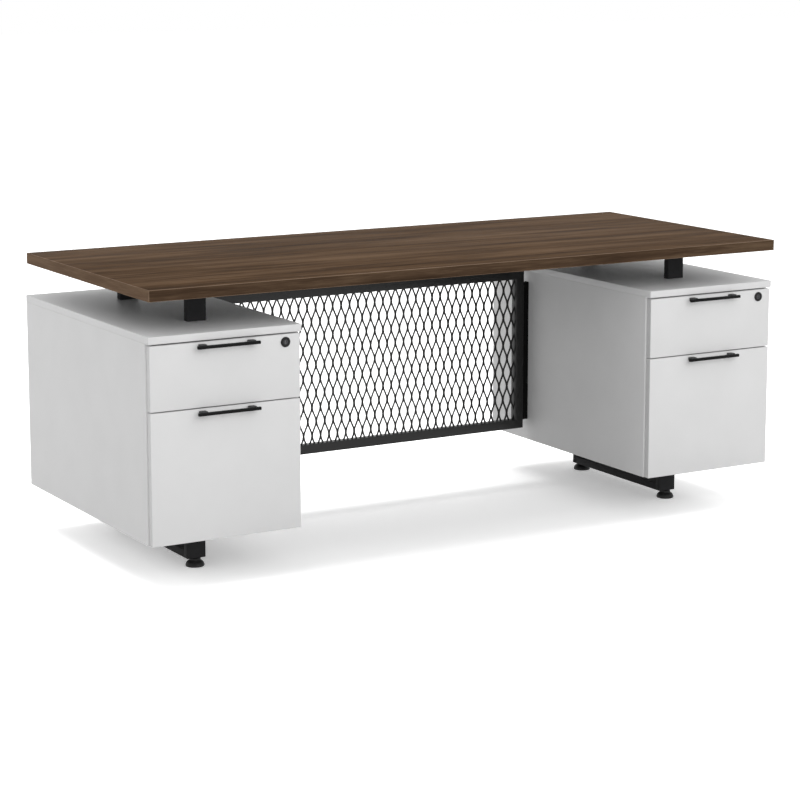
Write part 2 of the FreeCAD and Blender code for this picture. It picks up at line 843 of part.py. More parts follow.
def expanded_metal(width, height):
    """Expanded-metal sheet: long hexagonal openings in staggered rows, cut off at a plain rim."""
    pitch = sheet.mesh_pitch
    half_rise = sheet.mesh_rise / 2
    half_gap = (pitch - sheet.mesh_bond) / 2
    side = sheet.mesh_side / 2
    tip = sheet.mesh_tip / 2
    hexagon = [
        (half_gap, side), (half_gap, -side), (0, -tip),
        (-half_gap, -side), (-half_gap, side), (0, tip)]
    half_width = width / 2
    half_height = height / 2
    reaches = (half_width - sheet.mesh_margin, half_height - sheet.mesh_margin)
    rows = int(reaches[1] / half_rise) + 1
    columns = int(reaches[0] / pitch) + 1
    outlines = [[
        (-half_width, -half_height), (half_width, -half_height),
        (half_width, half_height), (-half_width, half_height)]]
    for row in range(-rows, rows + 1):
        stagger = pitch / 2 if row % 2 else 0
        for column in range(-columns - 1, columns + 1):
            middle_x = column * pitch + stagger + sheet.mesh_shift
            middle_z = row * half_rise + sheet.mesh_phase
            gap = [(middle_x + x, middle_z + z) for x, z in hexagon]
            for axis, reach in enumerate(reaches):
                gap = clipped(gap, axis, reach, 1)
                gap = clipped(gap, axis, -reach, -1)
            spans = [max(along) - min(along) for along in zip(*gap)]
            if spans and min(spans) > sheet.mesh_least_gap:
                outlines.append(gap)
    wires = []
    for corners in outlines:
        points = [FreeCAD.Vector(x, 0, z) for x, z in corners]
        wires.append(Part.makePolygon(points + points[:1]))
    face = Part.Face(wires)
    return face.extrude(FreeCAD.Vector(0, sheet.mesh_thickness, 0)), len(outlines) - 1


document.recompute()
mesh = document.addObject("Part::Feature", "modesty_mesh")
mesh_height = sheet.frame_height - 2 * sheet.frame_tube
mesh.Shape, gap_count = expanded_metal(cross_rail.Shape.BoundBox.XLength, mesh_height)
place(mesh, ("0", "frame_front + frame_tube / 2 - mesh_thickness / 2", "frame_foot + frame_height / 2"))
node(mesh)

# Checking and writing

document.recompute()
for item in document.Objects:
    if "Invalid" in item.State or "Error" in item.State:
        raise RuntimeError("%s failed to build: %s" % (item.Label, item.State))
labels = [item.Label for item in nodes]
if len(set(labels)) != len(labels):
    raise RuntimeError("two sub-parts share a label")
for item in nodes:
    if item.Shape.isNull() or not item.Shape.isValid() or not item.Shape.Solids:
        raise RuntimeError("%s has no valid solid" % item.Label)

os.makedirs("parts", exist_ok=True)
solids = 0
for item in nodes:
    item.Shape.exportStep(os.path.join("parts", item.Label + ".step"))
    solids += len(item.Shape.Solids)
print("%d sub-parts, %d solids, %d mesh openings" % (len(nodes), solids, gap_count))
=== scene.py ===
"""Looks of an office desk: a walnut worktop raised on posts over two white drawer pedestals."""
import math

import bmesh
import bpy
from mathutils import Color, Matrix, Vector


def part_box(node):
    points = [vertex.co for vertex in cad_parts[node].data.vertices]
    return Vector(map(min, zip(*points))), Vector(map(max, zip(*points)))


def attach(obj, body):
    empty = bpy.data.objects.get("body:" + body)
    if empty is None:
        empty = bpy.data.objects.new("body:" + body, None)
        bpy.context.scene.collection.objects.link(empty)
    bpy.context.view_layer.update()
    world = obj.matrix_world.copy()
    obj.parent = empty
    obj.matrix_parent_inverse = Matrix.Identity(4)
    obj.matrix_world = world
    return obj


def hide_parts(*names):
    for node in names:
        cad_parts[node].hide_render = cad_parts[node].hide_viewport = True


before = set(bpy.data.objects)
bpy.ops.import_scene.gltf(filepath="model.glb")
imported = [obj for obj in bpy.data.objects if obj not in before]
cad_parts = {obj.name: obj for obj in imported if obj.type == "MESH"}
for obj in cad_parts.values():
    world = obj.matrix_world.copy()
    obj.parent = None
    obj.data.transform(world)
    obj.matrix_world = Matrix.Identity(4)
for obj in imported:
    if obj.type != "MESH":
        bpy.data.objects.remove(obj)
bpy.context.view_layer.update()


# Worktop panel and edge bands
# A chipboard panel faced with walnut laminate whose grain runs along the desk, and backed with grey.
# Four strips of thicker walnut band are glued flush round its edges; their eased arrises carry a painted
# highlight.

def add_block(mesh, low, high):
    """Add a sharp-edged block between two corners to a mesh being built, and give its edges."""
    low = Vector(low)
    high = Vector(high)
    corners = bmesh.ops.create_cube(mesh, size=1)["verts"]
    bmesh.ops.scale(mesh, vec=high - low, verts=corners)
    bmesh.ops.translate(mesh, vec=(low + high) / 2, verts=corners)
    return list({edge for corner in corners for edge in corner.link_edges})


def add_board(mesh, low, high, ease):
    """Add a board between two corners to a mesh being built, with its arrises eased."""
    arrises = add_block(mesh, low, high)
    eased = bmesh.ops.bevel(
        mesh, geom=arrises, offset=ease, offset_type="OFFSET", affect="EDGES",
        segments=3, profile=0.5, material=-1, clamp_overlap=True)
    for face in eased["faces"]:
        face.smooth = True


def points_in(items):
    """The points among the items that an operator hands back."""
    return [item for item in items if isinstance(item, bmesh.types.BMVert)]


def draw_out(mesh, way):
    """Make a flat sheet that is being built into a solid, drawn out along a way."""
    drawn = bmesh.ops.extrude_face_region(mesh, geom=mesh.faces[:])["geom"]
    bmesh.ops.translate(mesh, vec=way, verts=points_in(drawn))
    bmesh.ops.recalc_face_normals(mesh, faces=mesh.faces)


def add_ring(mesh, low, high, width, turn, way):
    """Fill an empty mesh with a square-cornered ring between two corners, drawn out along a way."""
    outline = bmesh.ops.create_grid(mesh, x_segments=1, y_segments=1, size=0.5)["verts"]
    bmesh.ops.rotate(mesh, cent=(0, 0, 0), matrix=turn, verts=outline)
    bmesh.ops.scale(mesh, vec=high - low, verts=outline)
    bmesh.ops.translate(mesh, vec=(low + high - way) / 2, verts=outline)
    opening = mesh.faces[:]
    bmesh.ops.inset_region(
        mesh, faces=opening, thickness=width, use_boundary=True, use_even_offset=True)
    bmesh.ops.delete(mesh, geom=opening, context="FACES")
    draw_out(mesh, way)


def square_edges(edges):
    """The edges at which two faces meet at about a right angle."""
    return [edge for edge in edges if edge.calc_face_angle() > math.radians(80)]


def add_piece(name, mesh, finishes, body, slot, *nodes):
    """Make a built mesh into a piece that rides on a body and stands for its nodes."""
    data = bpy.data.meshes.new(name)
    mesh.to_mesh(data)
    mesh.free()
    data.set_sharp_from_angle(angle=math.radians(38))
    for finish in finishes:
        data.materials.append(finish)
    piece = bpy.data.objects.new(name, data)
    bpy.context.scene.collection.objects.link(piece)
    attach(piece, body)
    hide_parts(*nodes)


def shade(red, green, blue):
    """A colour given as on a paint card, from 0 to 255, in a shader's own values."""
    colour = Color((red / 255, green / 255, blue / 255)).from_srgb_to_scene_linear()
    return (*colour, 1)


def start_finish(name, sockets):
    """Start a material and set the sockets that are the same all over it."""
    material = bpy.data.materials.new(name)
    material.use_nodes = True
    tree = material.node_tree
    shader = tree.nodes["Principled BSDF"]
    for socket, value in sockets.items():
        shader.inputs[socket].default_value = value
    return material, tree, shader


def stretched_noise(tree, counts, detail):
    """Noise on the piece's own coordinates, with so many features a metre along X, Y and Z."""
    place = tree.nodes.new("ShaderNodeTexCoord")
    fit = tree.nodes.new("ShaderNodeMapping")
    fit.inputs["Scale"].default_value = counts
    noise = tree.nodes.new("ShaderNodeTexNoise")
    noise.inputs["Scale"].default_value = 1
    noise.inputs["Detail"].default_value = detail
    tree.links.new(place.outputs["Object"], fit.inputs["Vector"])
    tree.links.new(fit.outputs["Vector"], noise.inputs["Vector"])
    return noise.outputs["Fac"]


def blended(tree, parts):
    """Add up several values, each times its share."""
    total = None
    for value, share in parts:
        step = tree.nodes.new("ShaderNodeMath")
        step.operation = "MULTIPLY_ADD"
        tree.links.new(value, step.inputs[0])
        step.inputs[1].default_value = share
        step.inputs[2].default_value = 0
        if total is not None:
            tree.links.new(total, step.inputs[2])
        total = step.outputs[0]
    return total


def coloured(tree, shader, value, stops):
    """Colour the surface by a value, through a few stops from dark to light."""
    ramp = tree.nodes.new("ShaderNodeValToRGB")
    elements = ramp.color_ramp.elements
    while len(elements) < len(stops):
        elements.new(0.5)
    for element, (position, colour) in zip(elements, stops):
        element.position = position
        element.color = colour
    tree.links.new(value, ramp.inputs["Fac"])
    tree.links.new(ramp.outputs["Color"], shader.inputs["Base Color"])


def roughened(tree, shader, value, smoothest, roughest):
    """Let the gloss vary with a value, between two roughnesses."""
    span = tree.nodes.new("ShaderNodeMapRange")
    span.inputs["From Min"].default_value = 0.3
    span.inputs["From Max"].default_value = 0.7
    span.inputs["To Min"].default_value = smoothest
    span.inputs["To Max"].default_value = roughest
    tree.links.new(value, span.inputs["Value"])
    tree.links.new(span.outputs["Result"], shader.inputs["Roughness"])


def bumped(tree, shader, value, depth):
    """Raise the surface by a value, up to a depth in metres."""
    bump = tree.nodes.new("ShaderNodeBump")
    bump.inputs["Distance"].default_value = depth
    tree.links.new(value, bump.inputs["Height"])
    tree.links.new(bump.outputs["Normal"], shader.inputs["Normal"])


def walnut(name, along, dark, middle, light):
    """Walnut laminate: broad streaks, finer streaks and pores that run along the grain."""
    material, tree, shader = start_finish(name, {"Specular IOR Level": 0.02})
    streaks = []
    for count_along, count_across in ((1.8, 21), (4.5, 70), (20, 420)):
        counts = [count_along if run else count_across for run in along]
        streaks.append(stretched_noise(tree, counts, detail=4))
    pattern = blended(tree, [(streaks[0], 0.47), (streaks[1], 0.33), (streaks[2], 0.2)])
    coloured(tree, shader, pattern, [(0.36, dark), (0.5, middle), (0.63, light)])
    roughened(tree, shader, streaks[1], smoothest=0.6, roughest=0.75)
    bumped(tree, shader, streaks[2], depth=0.00012)
    return material


def laminate(name, dark, light, rough):
    """Laminated board: nearly even, with a fine pearl texture pressed into it."""
    material, tree, shader = start_finish(name, {"Specular IOR Level": 0.3})
    clouds = stretched_noise(tree, (9, 9, 9), detail=3)
    pearl = stretched_noise(tree, (1500, 1500, 1500), detail=2)
    coloured(tree, shader, blended(tree, [(clouds, 0.8), (pearl, 0.2)]), [(0.35, dark), (0.65, light)])
    roughened(tree, shader, pearl, rough - 0.05, rough + 0.05)
    bumped(tree, shader, pearl, depth=0.00003)
    return material


ALONG_DESK = (1, 0, 0)
ALONG_END = (0, 1, 0)
walnut_face = walnut(
    "walnut_face", ALONG_DESK, shade(57, 40, 25), shade(90, 68, 48), shade(118, 94, 72))
walnut_long_band = walnut(
    "walnut_long_band", ALONG_DESK, shade(49, 36, 26), shade(76, 59, 45), shade(103, 84, 66))
# The end bands are painted a lighter walnut than the long bands: painted light on the desk's end faces.
walnut_end_band_painted_light = walnut(
    "walnut_end_band_painted_light", ALONG_END, shade(92, 72, 56), shade(115, 94, 76), shade(133, 111, 91))
painted_arris_highlight = walnut(
    "painted_arris_highlight", ALONG_DESK, shade(112, 92, 75), shade(132, 111, 93), shade(150, 128, 109))
grey_backer = laminate("grey_backer", shade(84, 84, 84), shade(92, 92, 92), rough=0.6)

panel_low, panel_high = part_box("worktop_panel")
band_low, band_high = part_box("worktop_edge_bands")
UNTURNED = Matrix.Identity(3)
PANEL_EASE = 0.00015
BAND_EASE = 0.0012
UNDERSIDE_TURN = 0.5
HIGHLIGHT_ARRIS_TURN = 0.98

panel = bmesh.new()
add_board(panel, panel_low, panel_high, PANEL_EASE)
for face in panel.faces:
    face.material_index = 1 if face.normal.z < -UNDERSIDE_TURN else 0
add_piece(
    "worktop_board", panel, [walnut_face, grey_backer], "desk", "walnut_laminate", "worktop_panel")

bands = bmesh.new()
band_rise = Vector((0, 0, band_high.z - band_low.z))
add_ring(bands, band_low, band_high, band_high.x - panel_high.x, UNTURNED, band_rise)
outer_edges = [edge for edge in bands.edges if all(abs(point.co.x) > panel_high.x for point in edge.verts)]
bmesh.ops.bevel(
    bands, geom=square_edges(outer_edges), offset=BAND_EASE, offset_type="OFFSET", affect="EDGES",
    segments=3, profile=0.5, material=-1)
bands.normal_update()
for face in bands.faces:
    # The end faces take the lighter walnut, as painted light.
    face.material_index = 1 if abs(face.calc_center_median().x) > panel_high.x else 0
    # Painted highlight: the eased arrises of the bands take a lighter walnut.
    if max(abs(turn) for turn in face.normal) < HIGHLIGHT_ARRIS_TURN:
        face.material_index = 2
        face.smooth = True
add_piece(
    "worktop_bands", bands, [walnut_long_band, walnut_end_band_painted_light, painted_arris_highlight], "desk", "walnut_edge",
    "worktop_edge_bands")


# Pedestal cases
# White laminated boards, dowelled and glued into an open-fronted box under an overlay top.
# Their edges are banded in the same white and rounded over.

white_laminate = laminate("white_laminate", shade(227, 227, 227), shade(230, 230, 230), rough=0.48)
SIDES = ("left", "right")
TOP_EASE = 0.0012
CASE_EASE = 0.0006

for side in SIDES:
    for board, ease in (
            ("pedestal_top", TOP_EASE), ("outer_side", CASE_EASE), ("inner_side", CASE_EASE),
            ("case_bottom", CASE_EASE), ("case_back", CASE_EASE)):
        node = f"{side}_{board}"
        case = bmesh.new()
        add_board(case, *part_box(node), ease)
        add_piece(node + "_board", case, [white_laminate], "desk", "white_laminate", node)


# Drawer fronts
# Overlay boards in the same white laminate, whose left and right edges carry painted shade, a touch darker
# than the face.
# Each is screwed to the front wall of its drawer box.

front_side_shade = laminate("front_side_shade", shade(217, 217, 217), shade(220, 220, 220), rough=0.5)
LEVELS = ("upper", "lower")
FRONT_EASE = 0.001
SHADED_SIDE_TURN = 0.95

for side in SIDES:
    for level in LEVELS:
        node = f"{side}_{level}_drawer_front"
        front = bmesh.new()
        add_board(front, *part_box(node), FRONT_EASE)
        for face in front.faces:
            # Painted shade: the left and right edges of the front take a darker white.
            face.material_index = 1 if abs(face.normal.x) > SHADED_SIDE_TURN else 0
        add_piece(
            node + "_board", front, [white_laminate, front_side_shade], f"{side}_{level}_drawer",
            "white_laminate", node)


# Drawer boxes
# Light grey melamine boards, four walls round a bottom that is nailed up under them.
# The cut edges of the walls are taped in the same grey.

grey_melamine = laminate("grey_melamine", shade(186, 186, 184), shade(191, 191, 189), rough=0.55)
WALL_THICK = 0.012
WALL_EASE = 0.0006

for side in SIDES:
    for level in LEVELS:
        name = f"{side}_{level}_drawer"
        low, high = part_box(name + "_walls")
        walls = bmesh.new()
        left, right = low.x + WALL_THICK, high.x - WALL_THICK
        add_board(walls, low, (left, high.y, high.z), WALL_EASE)
        add_board(walls, (right, low.y, low.z), high, WALL_EASE)
        add_board(walls, (left, low.y, low.z), (right, low.y + WALL_THICK, high.z), WALL_EASE)
        add_board(walls, (left, high.y - WALL_THICK, low.z), (right, high.y, high.z), WALL_EASE)
        add_piece(name + "_box_walls", walls, [grey_melamine], name, "grey_melamine", name + "_walls")
        bottom = bmesh.new()
        add_board(bottom, *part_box(name + "_bottom"), WALL_EASE)
        add_piece(name + "_box_bottom", bottom, [grey_melamine], name, "grey_melamine", name + "_bottom")


# Handles
# Die-cast bar pulls in satin black: a bar on two feet, each held by a screw from inside the drawer.
# The feet stand a little taller than the bar and are left more matt, with a painted sheen: a lighter grey
# for the light their tops catch.

def even_metal(name, dark, light, rough, sockets):
    """Painted or plated metal: even, with a faint flow in its colour and gloss."""
    material, tree, shader = start_finish(name, sockets)
    flow = stretched_noise(tree, (60, 60, 60), detail=3)
    fine = stretched_noise(tree, (2200, 2200, 2200), detail=2)
    coloured(tree, shader, blended(tree, [(flow, 0.6), (fine, 0.4)]), [(0.35, dark), (0.65, light)])
    roughened(tree, shader, fine, rough - 0.06, rough + 0.06)
    bumped(tree, shader, fine, depth=0.00001)
    return material


def add_turned(mesh, profile, rounding, steps, turn, place, closed=False):
    """Add a shape to a mesh being built: a profile with rounded corners, spun about Z, turned and placed.

    The profile's points are in radius and height.
    """
    shape = bmesh.new()
    corners = [shape.verts.new((radius, 0, height)) for radius, height in profile]
    followers = corners[1:] + corners[:1] if closed else corners[1:]
    for corner, follower in zip(corners, followers):
        shape.edges.new((corner, follower))
    bmesh.ops.bevel(
        shape, geom=corners if closed else corners[1:-1], offset=rounding, offset_type="OFFSET",
        affect="VERTICES", segments=3, profile=0.5, material=-1)
    bmesh.ops.spin(
        shape, geom=shape.verts[:] + shape.edges[:], cent=(0, 0, 0), axis=(0, 0, 1), dvec=(0, 0, 0),
        angle=math.tau, steps=steps, use_merge=True)
    bmesh.ops.remove_doubles(shape, verts=shape.verts, dist=0.000001)
    bmesh.ops.recalc_face_normals(shape, faces=shape.faces)
    for face in shape.faces:
        face.smooth = True
    bmesh.ops.rotate(shape, cent=(0, 0, 0), matrix=turn, verts=shape.verts)
    bmesh.ops.translate(shape, vec=place, verts=shape.verts)
    data = bpy.data.meshes.new("turned_shape")
    shape.to_mesh(data)
    shape.free()
    mesh.from_mesh(data)
    bpy.data.meshes.remove(data)


black_handle = even_metal(
    "black_handle", shade(9, 9, 10), shade(13, 13, 14), rough=0.2,
    sockets={"Specular IOR Level": 0.14})
painted_sheen_foot = even_metal(
    "painted_sheen_foot", shade(56, 56, 57), shade(63, 63, 64), rough=0.4,
    sockets={"Specular IOR Level": 0.3})
TO_REAR = Matrix.Rotation(math.radians(-90), 3, "X")
BAR_SIDE = 0.008
BAR_EASE = 0.0018
FOOT_WIDTH = 0.018
FOOT_INSET = 0.009
FOOT_EASE = 0.0025
FOOT_LAP = 0.003
HEAD_RADIUS = 0.004
HEAD_RIM = 0.0012
HEAD_ROUND = 0.0006
HEAD_STEPS = 24

for side in SIDES:
    for level in LEVELS:
        name = f"{side}_{level}"
        low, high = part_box(name + "_handle")
        front_low, front_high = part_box(name + "_drawer_front")
        axis_level = (low.z + high.z) / 2
        head_height = high.y - front_high.y
        pull = bmesh.new()
        add_board(pull, low, (high.x, low.y + BAR_SIDE, low.z + BAR_SIDE), BAR_EASE)
        bar_faces = set(pull.faces)
        for foot_left in (low.x + FOOT_INSET, high.x - FOOT_INSET - FOOT_WIDTH):
            add_board(
                pull, (foot_left, low.y + BAR_SIDE - FOOT_LAP, low.z),
                (foot_left + FOOT_WIDTH, front_low.y, high.z), FOOT_EASE)
            add_turned(
                pull, [
                    (0, 0), (HEAD_RADIUS, 0), (HEAD_RADIUS, HEAD_RIM), (HEAD_RADIUS / 2, head_height),
                    (0, head_height)],
                HEAD_ROUND, HEAD_STEPS, TO_REAR,
                (foot_left + FOOT_WIDTH / 2, front_high.y, axis_level))
        # Painted highlight: the feet take a lighter grey than the bar, for the sheen on their tops.
        for face in pull.faces:
            face.material_index = 0 if face in bar_faces else 1
        add_piece(
            name + "_pull", pull, [black_handle, painted_sheen_foot], name + "_drawer", "black_handle",
            name + "_handle")


# Locks
# A black plated barrel with a flat bezel, pushed through the upper drawer front from outside.
# Its plug turns in the barrel, with the keyway in its face and a steel cam on its tail.

black_lock = even_metal(
    "black_lock", shade(18, 18, 19), shade(24, 24, 25), rough=0.3,
    sockets={"Specular IOR Level": 0.3})
lock_metal = even_metal(
    "lock_metal", shade(68, 68, 70), shade(86, 86, 88), rough=0.38,
    sockets={"Metallic": 1.0})
TO_USER = Matrix.Rotation(math.radians(90), 3, "X")
BARREL_RADIUS = 0.0095
PLUG_RADIUS = 0.006
PLUG_ROOM = 0.0002
PLUG_STEPS = 32
BEZEL_SLOPE = 0.001
BEZEL_ROUND = 0.0004
BEZEL_STEPS = 48
KEYWAY_WIDTH = 0.0016
KEYWAY_HEIGHT = 0.008
KEYWAY_DEPTH = 0.006
CAM_THICK = 0.003
CAM_WIDTH = 0.010
CAM_EASE = 0.0006

for side in SIDES:
    low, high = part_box(side + "_lock_housing")
    front_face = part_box(side + "_upper_drawer_front")[0].y
    axis = Vector(((low.x + high.x) / 2, front_face, (low.z + high.z) / 2))
    bore_radius = PLUG_RADIUS + PLUG_ROOM
    bezel_radius = (high.x - low.x) / 2
    lip = front_face - low.y
    tail = front_face - high.y
    housing = bmesh.new()
    add_turned(
        housing, [
            (bore_radius, tail), (BARREL_RADIUS, tail), (BARREL_RADIUS, 0), (bezel_radius, 0),
            (bezel_radius, lip - BEZEL_SLOPE), (bezel_radius - BEZEL_SLOPE, lip), (bore_radius, lip)],
        BEZEL_ROUND, BEZEL_STEPS, TO_USER, axis, closed=True)
    add_piece(
        side + "_lock_barrel", housing, [black_lock], side + "_upper_drawer", "black_lock",
        side + "_lock_housing")

    plug_low, plug_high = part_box(side + "_lock_plug")
    plug_face = front_face - plug_low.y
    cam_face = front_face - plug_high.y + CAM_THICK
    plug = bmesh.new()
    rim = bmesh.ops.create_circle(plug, radius=PLUG_RADIUS, segments=PLUG_STEPS)["verts"]
    keyway = bmesh.ops.create_circle(plug, radius=KEYWAY_HEIGHT / 2, segments=PLUG_STEPS)["verts"]
    for corner in keyway:
        corner.co.x = max(-KEYWAY_WIDTH / 2, min(KEYWAY_WIDTH / 2, corner.co.x))
    rim_edges = list({edge for corner in rim for edge in corner.link_edges})
    keyway_edges = list({edge for corner in keyway for edge in corner.link_edges})
    bmesh.ops.bridge_loops(plug, edges=rim_edges + keyway_edges)
    for edges, depth in ((keyway_edges, -KEYWAY_DEPTH), (rim_edges, cam_face - plug_face)):
        drawn = bmesh.ops.extrude_edge_only(plug, edges=edges)["geom"]
        ends = points_in(drawn)
        bmesh.ops.translate(plug, vec=(0, 0, depth), verts=ends)
        end_edges = [edge for edge in drawn if isinstance(edge, bmesh.types.BMEdge)
                     and all(corner in ends for corner in edge.verts)]
        bmesh.ops.edgeloop_fill(plug, edges=end_edges)
    bmesh.ops.recalc_face_normals(plug, faces=plug.faces)
    bmesh.ops.translate(plug, vec=(0, 0, plug_face), verts=plug.verts)
    bmesh.ops.rotate(plug, cent=(0, 0, 0), matrix=TO_USER, verts=plug.verts)
    bmesh.ops.translate(plug, vec=axis, verts=plug.verts)
    add_board(
        plug, (plug_low.x, plug_high.y - CAM_THICK, axis.z - CAM_WIDTH / 2),
        (plug_high.x, plug_high.y, axis.z + CAM_WIDTH / 2), CAM_EASE)
    add_piece(
        side + "_lock_cylinder", plug, [lock_metal], side + "_lock", "lock_metal", side + "_lock_plug")


# Standoff posts and sled bases
# Black powder-coated steel: rectangular tube welded to fixing plates, which screw to the boards.
# The posts carry the worktop, and a floor rail joins the two stubs of each sled.

def add_plate(mesh, low, high, corner_radius, ease):
    """Add a level plate between two corners to a mesh being built, with its corners rounded."""
    known = set(mesh.faces)
    edges = add_block(mesh, low, high)
    uprights = [edge for edge in edges if abs(edge.verts[0].co.z - edge.verts[1].co.z) > ease]
    bmesh.ops.bevel(
        mesh, geom=uprights, offset=corner_radius, offset_type="OFFSET", affect="EDGES",
        segments=4, profile=0.5, material=-1)
    new_edges = {edge for face in mesh.faces if face not in known for edge in face.edges}
    eased = bmesh.ops.bevel(
        mesh, geom=square_edges(new_edges), offset=ease, offset_type="OFFSET", affect="EDGES",
        segments=2, profile=0.5, material=-1)
    for face in eased["faces"]:
        face.smooth = True


def powder_coat(name, dark, light, rough, sockets):
    """Powder coat: black, with the fine pebbled skin that the melted powder leaves."""
    material, tree, shader = start_finish(name, sockets)
    pebbles = stretched_noise(tree, (1100, 1100, 1100), detail=2)
    flow = stretched_noise(tree, (40, 40, 40), detail=2)
    coloured(tree, shader, blended(tree, [(pebbles, 0.5), (flow, 0.5)]), [(0.35, dark), (0.65, light)])
    roughened(tree, shader, pebbles, rough - 0.07, rough + 0.07)
    bumped(tree, shader, pebbles, depth=0.00004)
    return material


black_coat = powder_coat(
    "black_powder_coat", shade(50, 50, 51), shade(57, 57, 58), rough=0.57,
    sockets={"Specular IOR Level": 0.04})
TUBE_WIDTH = 0.050
TUBE_DEPTH = 0.020
TUBE_EASE = 0.0016
PLATE_THICK = 0.004
PLATE_DEPTH = 0.070
PLATE_CORNER = 0.006
PLATE_EASE = 0.0006
RAIL_LAP = 0.003


def add_stub(mesh, middle, station, low, high):
    """Add an upright tube at a station to a mesh being built, with its fixing plate on top."""
    add_board(
        mesh, (middle - TUBE_WIDTH / 2, station - TUBE_DEPTH / 2, low.z),
        (middle + TUBE_WIDTH / 2, station + TUBE_DEPTH / 2, high.z - PLATE_THICK), TUBE_EASE)
    add_plate(
        mesh, (low.x, station - PLATE_DEPTH / 2, high.z - PLATE_THICK),
        (high.x, station + PLATE_DEPTH / 2, high.z), PLATE_CORNER, PLATE_EASE)


for side in SIDES:
    low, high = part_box(side + "_standoff_posts")
    middle = (low.x + high.x) / 2
    posts = bmesh.new()
    for station in (low.y + PLATE_DEPTH / 2, high.y - PLATE_DEPTH / 2):
        add_stub(posts, middle, station, low, high)
    add_piece(
        side + "_post_tubes", posts, [black_coat], "desk", "black_powder_coat", side + "_standoff_posts")

    low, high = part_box(side + "_sled_base")
    front_station = low.y + PLATE_DEPTH / 2
    rear_station = high.y - PLATE_DEPTH / 2
    rail_reach = TUBE_DEPTH / 2 - RAIL_LAP
    sled = bmesh.new()
    for station in (front_station, rear_station):
        add_stub(sled, middle, station, low, high)
    add_board(
        sled, (middle - TUBE_WIDTH / 2, front_station + rail_reach, low.z),
        (middle + TUBE_WIDTH / 2, rear_station - rail_reach, low.z + TUBE_DEPTH), TUBE_EASE)
    add_piece(side + "_sled_tubes", sled, [black_coat], "desk", "black_powder_coat", side + "_sled_base")


# Levelling glides
# Moulded black feet on threaded stems, which screw in and out of the sled to level the desk.
# A domed shoulder joins the wide foot to its neck.

def moulded_plastic(name, dark, light):
    """Moulded plastic: black, with a fine spark-eroded grain."""
    material, tree, shader = start_finish(name, {"Specular IOR Level": 0.3})
    erosion = stretched_noise(tree, (1700, 1700, 1700), detail=3)
    flow = stretched_noise(tree, (70, 70, 70), detail=2)
    coloured(tree, shader, blended(tree, [(erosion, 0.4), (flow, 0.6)]), [(0.35, dark), (0.65, light)])
    roughened(tree, shader, erosion, smoothest=0.45, roughest=0.6)
    bumped(tree, shader, erosion, depth=0.00003)
    return material


black_plastic = moulded_plastic("black_plastic", shade(23, 23, 23), shade(29, 29, 29))
GLIDE_RIM = 0.005
GLIDE_DOME = 0.011
GLIDE_DOME_RADIUS = 0.0205
GLIDE_SHOULDER = 0.016
GLIDE_NECK_RADIUS = 0.014
GLIDE_TOP = 0.0207
STEM_RADIUS = 0.005
GLIDE_ROUND = 0.0015
GLIDE_STEPS = 48

for side in SIDES:
    for end in ("front", "rear"):
        node = f"{side}_{end}_glide"
        low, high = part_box(node)
        foot_radius = (high.x - low.x) / 2
        glide = bmesh.new()
        add_turned(
            glide, [
                (0, 0), (foot_radius, 0), (foot_radius, GLIDE_RIM), (GLIDE_DOME_RADIUS, GLIDE_DOME),
                (GLIDE_NECK_RADIUS, GLIDE_SHOULDER), (GLIDE_NECK_RADIUS, GLIDE_TOP),
                (STEM_RADIUS, GLIDE_TOP), (STEM_RADIUS, high.z - low.z), (0, high.z - low.z)],
            GLIDE_ROUND, GLIDE_STEPS, UNTURNED, ((low.x + high.x) / 2, (low.y + high.y) / 2, low.z))
        add_piece(node + "_foot", glide, [black_plastic], node, "black_plastic", node)


# Modesty panel frame
# Square steel tube, mitred, welded and ground flush at its corners, in a glossier black coat.
# It hangs between the pedestals on two upright brackets.

gloss_coat = powder_coat(
    "gloss_powder_coat", shade(2, 2, 2), shade(5, 5, 5), rough=0.38,
    sockets={"Specular IOR Level": 0.5})
FRAME_TUBE_SIDE = 0.025
FRAME_EASE = 0.0016

low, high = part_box("modesty_frame")
rails = bmesh.new()
add_ring(rails, low, high, FRAME_TUBE_SIDE, TO_USER, Vector((0, high.y - low.y, 0)))
eased = bmesh.ops.bevel(
    rails, geom=square_edges(rails.edges), offset=FRAME_EASE, offset_type="OFFSET", affect="EDGES",
    segments=3, profile=0.5, material=-1)
for face in eased["faces"]:
    face.smooth = True
add_piece("modesty_rails", rails, [gloss_coat], "desk", "black_powder_coat", "modesty_frame")


# Modesty panel mesh
# Expanded steel sheet, slit, stretched and rolled flat, so that its strands part and meet at bonds.
# It is cut to the frame's opening and welded to the tubes at the strand ends.

MESH_PITCH = 0.026
MESH_RISE = 0.0778
MESH_BOND_WIDTH = 0.0058
MESH_OPENING_HEIGHT = 0.0572
MESH_SIDE_SHIFT = 0.0062
MESH_UP_SHIFT = 0.0144
MESH_FULLNESS = 1.42
MESH_WAIST_LEVEL = 0.007


def half_opening(level):
    """Half the width of an opening of the mesh, at a level above or below its middle."""
    narrowing = max(0, math.cos(math.pi * level / MESH_OPENING_HEIGHT)) ** MESH_FULLNESS
    return (MESH_PITCH - MESH_BOND_WIDTH) / 2 * narrowing


